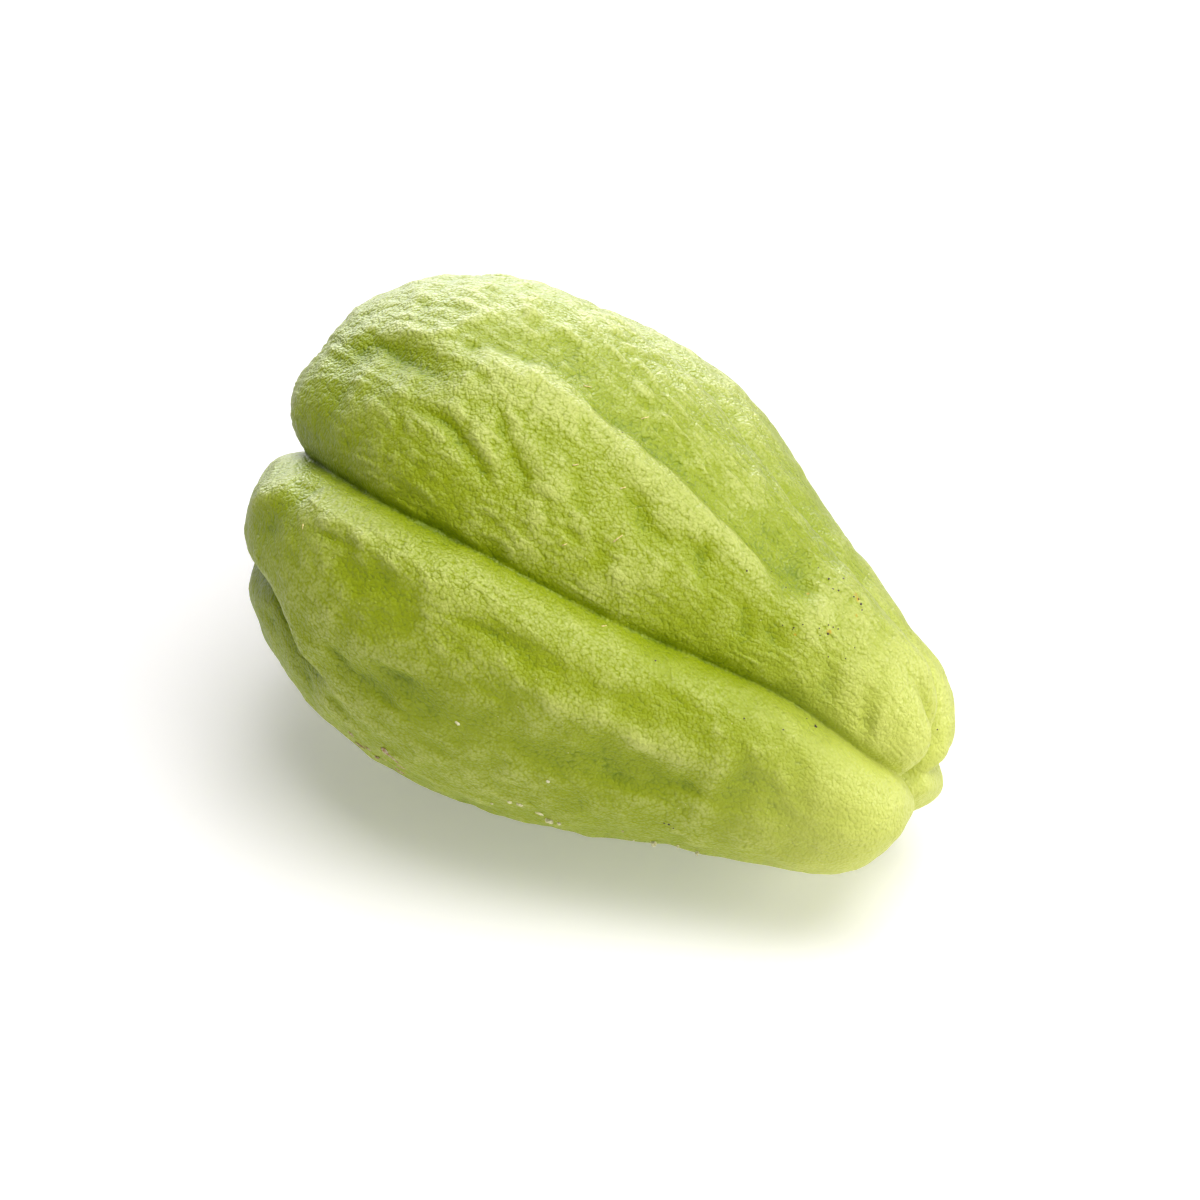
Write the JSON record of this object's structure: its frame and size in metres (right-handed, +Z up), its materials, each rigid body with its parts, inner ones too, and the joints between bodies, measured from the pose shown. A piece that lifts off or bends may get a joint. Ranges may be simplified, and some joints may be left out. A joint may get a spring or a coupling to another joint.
{
  "type": "chayote squash",
  "caption": "Pear-shaped green fruit with deep furrows between rounded lobes, lying on its side with its stem end tipped down, resting on a small flat spot.",
  "frame": {"origin": "on the surface that the fruit rests on, in the middle of the fruit's box", "axes": "+X along the fruit towards its narrow stem end, +Z up, -Y towards the side that the picture shows"},
  "size_m": [0.1208, 0.0854, 0.0851],
  "materials": {
    "skin": "satin, pale yellow-green fruit skin"
  },
  "bodies": {
    "root": {"chayote": "skin"}
  },
  "joints": []
}
